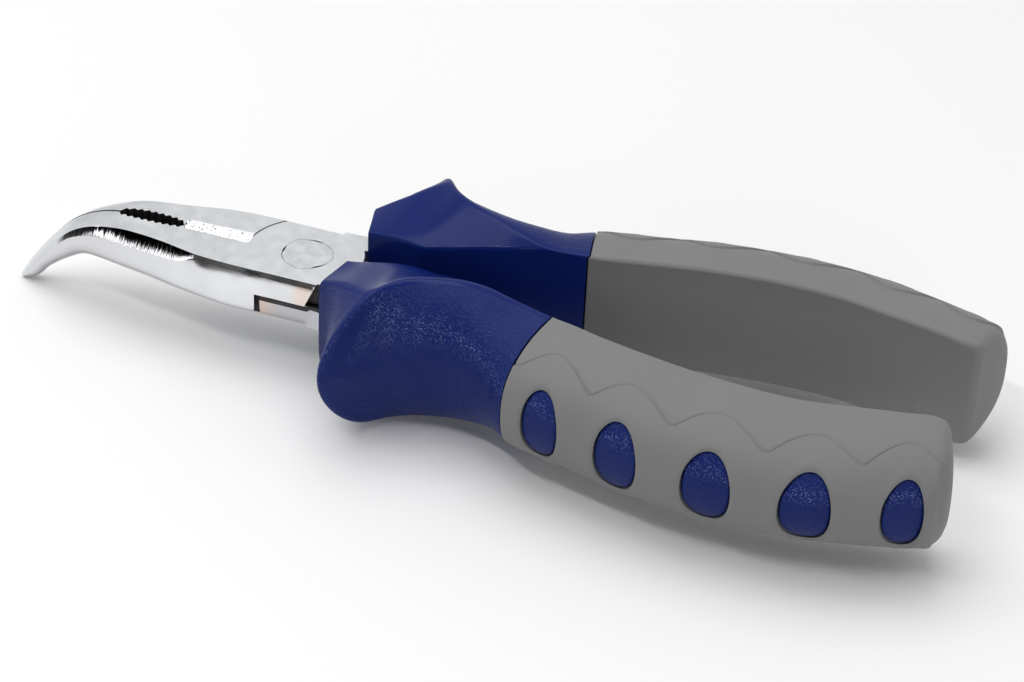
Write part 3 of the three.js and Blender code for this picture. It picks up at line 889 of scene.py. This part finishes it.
def outward(grid, rows):
    """Directions out of the skin at a grid of its points; level at mid height."""
    normal = np.cross(np.gradient(grid, axis=0), np.gradient(grid, axis=1))
    normal /= np.linalg.norm(normal, axis=2, keepdims=True) + 1e-9
    centre = np.stack([rows[:, 3], (rows[:, 4] + rows[:, 7]) / 2, 0 * rows[:, 3]], 1)[:, None]
    normal *= np.sign(((grid - centre) * normal).sum(-1, keepdims=True))
    normal[:, -1, 2] = 0
    return normal


def relief(rings, angles, rows):
    """Raise the scalloped field and the lips of the windows on the outer curve of the grip's skin."""
    across = follow_edge(rings, angles, rows)
    grid = rings[:, ARC_FIRST:HALF_RING]
    height = field_height(across, rows)
    for x, half_width in PADS:
        height = height + window_height(grid[..., 0], grid[..., 2], x, half_width)
    moved = grid + outward(grid, rows) * height[..., None]
    rings[:, ARC_FIRST:HALF_RING] = moved
    rings[:, HALF_RING:HALF_RING + ARC - 1] = moved[:, -2::-1] * UPSIDE_DOWN


def sleeve():
    """Outer body of the grip, with its relief; its rings are closer at the end of the field."""
    count = int(round((HANDLE_KEYS[-1] - SEAM_KEY) / GRIP_PITCH))
    stop = np.interp(FIELD_END, HANDLE[:, 6], HANDLE_KEYS)
    at = np.sort(np.concatenate([np.linspace(SEAM_KEY, HANDLE_KEYS[-1], count + 1),
                                 np.linspace(stop - 0.5, stop + 0.9, 14)]))
    rows = spline(HANDLE_KEYS, HANDLE, at)
    rings, angles = handle_rings(rows, GRIP_ROUND)
    relief(rings, angles, rows)
    step_back = np.linspace(1, 0, SEAM_GROOVE_ROWS + 1)
    rings[:SEAM_GROOVE_ROWS + 1, :, 0] += SEAM_GROOVE * step_back[:, None]
    front = rounded_front(rings[0], GRIP_FRONT_ROUND, 3)
    return loft("grip", front + list(rings[1:]) + cap_rings(rings[-1], 0.25, 7))


def handle_grip(skin):
    """Soft grip: a sleeve over the spine, closed at its end, with a window for each pad."""
    piece = sleeve()
    combine(piece, "DIFFERENCE", inside_sleeve("hollow", SPINE_END + GAP, SLEEVE_WALL))
    for i, (x, half_width) in enumerate(PADS):
        outline = np.stack(pad_outline(x, half_width, WINDOW_GAP, full_turn(96)), 1)
        low = stem_floor(skin, x) - GAP
        combine(piece, "DIFFERENCE", prism(f"window_{i}", outline, low, low + 30, "y"))
    return piece


skin = skin_tree()
core = handle_core(skin)
grip = handle_grip(skin)
for side, body, flip in (("far", "upper", False), ("near", "lower", True)):
    finish_piece(copy_of(core, f"{side}_core", flip), body, "handle_core", BLUE, f"{side}_handle_core")
    finish_piece(copy_of(grip, f"{side}_grip", flip), body, "soft_grip", GREY, f"{side}_handle_grip")
drop(core)
drop(grip)

# ---- forged halves ----

TOP_STEPS, FACET_STEPS, SIDE_STEPS, LOW_STEPS = 14, 10, 16, 22
JAW_ROWS = np.array(JAW)


def jaw_rings(rows):
    """Half sections of a jaw on the +Y side of the seam, (n, m, 3), seam side first."""
    x, z, tilt, depth, half, square, top, crown, foot, foot_drop, side = (
        column[:, None] for column in rows.T)
    middle = MID_DEPTH * depth
    # Each part is drawn as distance from the seam and depth below the top.
    seam = np.stack([HALF_SEAM + 0 * x, SEAM_EASE + 0 * x], -1)
    y = HALF_SEAM + SEAM_EASE + (top - HALF_SEAM - SEAM_EASE) * np.linspace(0, 1, TOP_STEPS + 1)
    face = np.stack([y, crown * (y / top) ** 2], -1)
    a, b = np.hstack([top, crown]), np.hstack([foot, foot_drop])
    bend = FACET_BEND * smoothstep((FACET_BEND_FROM - x) / 4)
    facet = bezier(a, a + (b - a) * np.hstack([0.5 - bend, 0.5 + bend]), b, FACET_STEPS)
    t = parts(SIDE_STEPS)
    upper = np.stack([foot + (half - foot) * (1 - (1 - t) ** side),
                      foot_drop + (middle - foot_drop) * t], -1)
    t = pi / 2 * np.arange(1, LOW_STEPS + 1) / LOW_STEPS
    y = half * np.cos(t).clip(0) ** (2 / square)
    lower = np.stack([np.maximum(y, HALF_SEAM),
                      middle + (depth - middle) * np.sin(t) ** (2 / square)], -1)
    across, down = np.concatenate([seam, face, facet, upper, lower], axis=1).transpose(2, 0, 1)
    lean = np.radians(tilt)
    return np.stack([x + down * np.sin(lean), across, z - down * np.cos(lean)], -1)


def jaw(name):
    """The far jaw, before the teeth and the cutter are cut."""
    keys = run_length(JAW_ROWS[:, :2], 0)
    rings = jaw_rings(spline(keys, JAW_ROWS, np.linspace(0, keys[-1], 190)))
    x = rings[:-1, 0, 0]
    slots = np.full((len(rings) - 1, rings.shape[1]), POLISHED)
    slots[:, 1:TOP_STEPS + 1] = FACE
    slots[(x < FACET_TO) & (x > FACET_FROM), TOP_STEPS + 1:TOP_STEPS + 1 + FACET_STEPS] = FACET
    slots[:, -1] = SEAM
    # Painted shade on the seam's bevel, from the cutter to the nose tip.
    slots[x < CUTTER["from"], 0] = PAINTED_SHADE
    return loft(name, rings, slots)


def teeth_cutter():
    """Opening between the jaws with a row of teeth on each side."""
    start, pitch, count = TEETH["start"], TEETH["pitch"], TEETH["count"]
    far, near = [], []
    for i in range(2 * count + 1):
        t = i / (2 * count)
        lens = max(1 - (2 * t - 1) ** 2, 0) ** 0.5
        x, tooth = start + i * pitch / 2, (i % 2) * TEETH["depth"]
        far.append((x, TEETH_ROOT + (TEETH["far"] - TEETH_ROOT) * lens + tooth))
        near.append((x, -TEETH_ROOT - (TEETH["near"] - TEETH_ROOT) * lens - tooth))
    outline = [(start - pitch, 0)] + far + [(start + count * pitch + 0.3, 0)] + near[::-1]
    return prism("teeth", outline, -THROUGH, THROUGH)


def wire_cutter(below=False):
    """A bevel on one jaw and a shallow notch on the other; the same lies turned over underneath."""
    top = HALF_JOINT + 0.1
    section = [(0, CUTTER["edge"]), (CUTTER["bevel"], top), (-CUTTER["notch"], top),
               (-CUTTER["notch"], CUTTER["edge"])]
    if below:
        section = [(-y, -z) for y, z in section]
    return prism("cutter", section, CUTTER["from"], CUTTER["to"], "x")


def barrel(upper):
    """The joint's section carried across the pivot on both sides of the seam."""
    reach = LAP_RADIUS + 1
    rows = np.repeat(JAW_ROWS[:1], 2, axis=0)
    rows[:, 0] = (-reach, reach)
    rings = jaw_rings(rows)
    slots = np.full((1, rings.shape[1]), POLISHED)
    slots[:, 1:TOP_STEPS + 1] = FACE
    half = loft("barrel", rings, slots)
    other = copy_of(half, "barrel_other", flip_y=True)
    across_seam = [(-reach, -1), (reach, -1), (reach, 1), (-reach, 1)]
    filler = prism("filler", across_seam, -HALF_JOINT, HALF_JOINT)
    combine(half, "UNION", other, filler)
    return half if upper else flipped(half, flip_z=True)


def joint_cuts(upper):
    """Cuts at the lap's sides: a slot before it, an eased edge, and a slanting pocket on each side.

    They are drawn for the lower half and turned over for the upper one.
    """
    slot = [(SLOT_BACK, -HALF_SEAM), (SLOT_FRONT, -HALF_SEAM), (SLOT_FRONT - 0.3, -6.0),
            (SLOT_BACK, -6.0)]
    edge = [(-11.2, -HALF_SEAM), (-9.9, -HALF_SEAM), (-11.2, -1.9)]

    def pocket(name):
        outline = [(6.0, 5.2), (POCKET_FRONT, -HALF_SEAM), (POCKET_BACK, -HALF_SEAM),
                   (POCKET_BACK, 5.2)]
        return prism(name, outline, -LAP_RADIUS, -POCKET_WALL, "y")

    own = [prism("slot", slot, -LAP_RADIUS, -SLOT_WALL, "y"), prism("edge", edge, -13.2, 9.6, "x"),
           pocket("pocket")]
    other = pocket("other_pocket")
    if upper:
        return [flipped(cut, flip_y=True, flip_z=True) for cut in own] + [other]
    return own + [flipped(other, flip_y=True, flip_z=True)]


def rivet_outline(grow):
    """Edge of the peened head: a circle, a little out of true."""
    t = full_turn(160)
    wobble = sum(size * np.sin(waves * t + start) for waves, size, start in RIVET_WAVES)
    return around(RIVET_RADIUS + 0.05 + wobble + grow, t)


def forged_half(name, upper):
    """Jaw, lap and tang in one piece; the upper half is the one with the near jaw."""
    low, high = (HALF_SEAM, HALF_JOINT) if upper else (-HALF_JOINT, -HALF_SEAM)
    other_low, other_high = (-THROUGH, HALF_SEAM) if upper else (-HALF_SEAM, THROUGH)
    piece = jaw(name)
    if upper:
        piece = flipped(piece, flip_y=True)
    combine(piece, "DIFFERENCE", teeth_cutter(), wire_cutter(), wire_cutter(below=True))
    combine(piece, "DIFFERENCE", lap_round("other", GAP, other_low, other_high),
            prism("clear", circle(LAP_RADIUS - 1), -THROUGH, THROUGH))
    lap = barrel(upper)
    combine(lap, "INTERSECT", lap_round("own", 0, low, high))
    tang = tang_shape(0)
    if not upper:
        tang = flipped(tang, flip_y=True)
    combine(tang, "DIFFERENCE", lap_round("other", GAP, other_low, other_high))
    combine(lap, "UNION", tang)
    combine(lap, "DIFFERENCE", *joint_cuts(upper))
    combine(piece, "UNION", lap)
    clearance = 0.12 if upper else 0.08
    combine(piece, "DIFFERENCE", prism("bore", circle(RIVET_RADIUS + clearance), -20, 20))
    if upper:
        sink = prism("sink", rivet_outline(0.07), HALF_JOINT - RIVET_HEAD - 0.1, 20)
        combine(piece, "DIFFERENCE", sink)
    return piece


def cut_finish(c, nz):
    """Finish, or painted shade, of a face with centre c and upward part nz of its normal, or None to
    leave it as it is.
    """
    off_seam, off_middle = abs(c.y), abs(c.z)
    if abs(nz) > 0.98 and abs(off_middle - HALF_JOINT) < 0.12 and c.x > FLAT_FROM:
        return FACE
    in_cutter = CUTTER["from"] - 0.1 < c.x < CUTTER["to"] + 0.1 and off_middle > CUTTER["edge"] - 0.1
    if in_cutter and HALF_SEAM + 0.05 < off_seam < CUTTER["bevel"] and abs(nz) < 0.95:
        return CUT
    # The teeth get painted shade, near black.
    in_teeth = TEETH["start"] - TEETH["pitch"] - 0.1 < c.x < CUTTER["from"] - 0.1 and c.z < HALF_JOINT
    if in_teeth and off_seam < TEETH["far"] + TEETH["depth"] + 0.5 and abs(nz) < 0.5:
        return PAINTED_SHADE
    if off_seam < HALF_SEAM + 0.02 and abs(nz) < 0.2:
        return SEAM
    # The pocket's and the slot's walls get painted shade, near black.
    in_pocket = (POCKET_FRONT - 0.3 < c.x < POCKET_BACK + 0.1
                 and POCKET_WALL - 0.2 < off_seam < POCKET_WALL + 0.1)
    in_slot = (SLOT_BACK - 0.1 < c.x < SLOT_FRONT + 0.2
               and SLOT_WALL - 0.1 < off_seam < SLOT_WALL + 0.1)
    return PAINTED_SHADE if in_pocket or in_slot else None


def paint_half(piece):
    """Give the cut faces their own finishes, and painted shade in the teeth, the pocket and the slot.
    """
    for face in piece.data.polygons:
        finish = cut_finish(face.center, face.normal.z)
        if finish is not None:
            face.material_index = finish


for name, body, upper in (("upper_half_steel", "upper", True), ("lower_half_steel", "lower", False)):
    half = forged_half(name, upper)
    paint_half(half)
    finish_piece(half, body, "jaw_steel", STEEL, "upper_half" if upper else "lower_half")

# The peened head fills the sink in the upper half, so it moves with that half.
pin = prism("rivet_pin", circle(RIVET_RADIUS), -HALF_JOINT, HALF_JOINT - RIVET_HEAD - 0.15)
finish_piece(pin, "lower", "rivet_steel", RIVET, "rivet")
head = prism("rivet_head", rivet_outline(0), HALF_JOINT - RIVET_HEAD, HALF_JOINT)
finish_piece(head, "upper", "rivet_steel", RIVET)

# ---- floor, light and camera ----


def floor():
    """A large pale sheet just under the tool."""
    size, level = 1.6, cad_low[2] - 0.0006
    mesh = bpy.data.meshes.new("floor")
    mesh.from_pydata([(-size, -size, level), (size, -size, level), (size, size, level),
                      (-size, size, level)], [], [(0, 1, 2, 3)])
    s = Shader("floor_pale", (0.88, 0.88, 0.88), 0.7, specular=0.1)
    s.to(s.mix(s.noise(3, detail=2), (0.87, 0.87, 0.87), (0.89, 0.89, 0.89)), "Base Color")
    mesh.materials.append(s.material)
    plane = bpy.data.objects.new("floor", mesh)
    bpy.context.scene.collection.objects.link(plane)


def surroundings():
    """Soft white studio: bright overhead and behind, dim towards the viewer below 45 degrees."""
    world = bpy.data.worlds.new("studio")
    world.use_nodes = True
    n = Nodes(world.node_tree)
    direction = n.new("TexCoord").outputs["Generated"]
    low = n.ramp(n.split(direction, "Z"), (0.0, 1.0), (0.69, 1.0), (0.77, 0.0))
    toward_viewer = n.add(n.times(n.split(direction, "Y"), -0.5), 0.5)
    front = n.ramp(toward_viewer, (0.50, 0.0), (0.72, 1.0))
    background = n.tree.nodes["Background"]
    n.fill(background.inputs["Strength"], n.minus(0.66, n.times(n.times(low, front), 0.60)))
    n.fill(background.inputs["Color"], (1, 1, 1))
    bpy.context.scene.world = world


def softbox(name, place, aim, size, power):
    """A rectangular lamp at a place, turned to its aim; metres and watts."""
    light = bpy.data.lights.new(name, "AREA")
    light.shape = "RECTANGLE"
    light.size, light.size_y = size
    light.energy = power
    lamp = bpy.data.objects.new(name, light)
    bpy.context.scene.collection.objects.link(lamp)
    lamp.location = place
    lamp.rotation_euler = (Vector(aim) - Vector(place)).to_track_quat("-Z", "Y").to_euler()


def camera():
    """Long lens, from above the near handle's side, held a little out of level."""
    azimuth, elevation, roll = radians(18.367), radians(35.511), radians(2.84)
    distance, lens = 0.619, 111.27
    target = Vector((0.044669, -0.002878, -0.006724))
    back = Vector((sin(azimuth) * cos(elevation), -cos(azimuth) * cos(elevation), sin(elevation)))
    right = Vector((cos(azimuth), sin(azimuth), 0))
    up = back.cross(right)
    right, up = right * cos(roll) + up * sin(roll), up * cos(roll) - right * sin(roll)
    data = bpy.data.cameras.new("camera")
    data.lens, data.sensor_width, data.clip_start = lens, 36.0, 0.01
    view = bpy.data.objects.new("camera", data)
    bpy.context.scene.collection.objects.link(view)
    matrix = Matrix((right, up, back)).transposed().to_4x4()
    matrix.translation = target + back * distance
    view.matrix_world = matrix
    bpy.context.scene.camera = view


floor()
surroundings()
softbox("overhead", (-0.15, 0.15, 0.9), (0.03, 0, 0), (0.9, 0.7), 4.0)
softbox("left", (-0.7, -0.25, 0.45), (0.03, 0, 0), (0.5, 0.4), 1.0)
softbox("strip", (-0.15, -0.44, 0.76), (0.03, 0, 0), (0.5, 0.016), 1.5)
softbox("front", (0.55, -0.75, 0.28), (0.05, 0, 0), (0.4, 0.3), 1.5)
camera()
bpy.context.scene.view_settings.view_transform = "Standard"
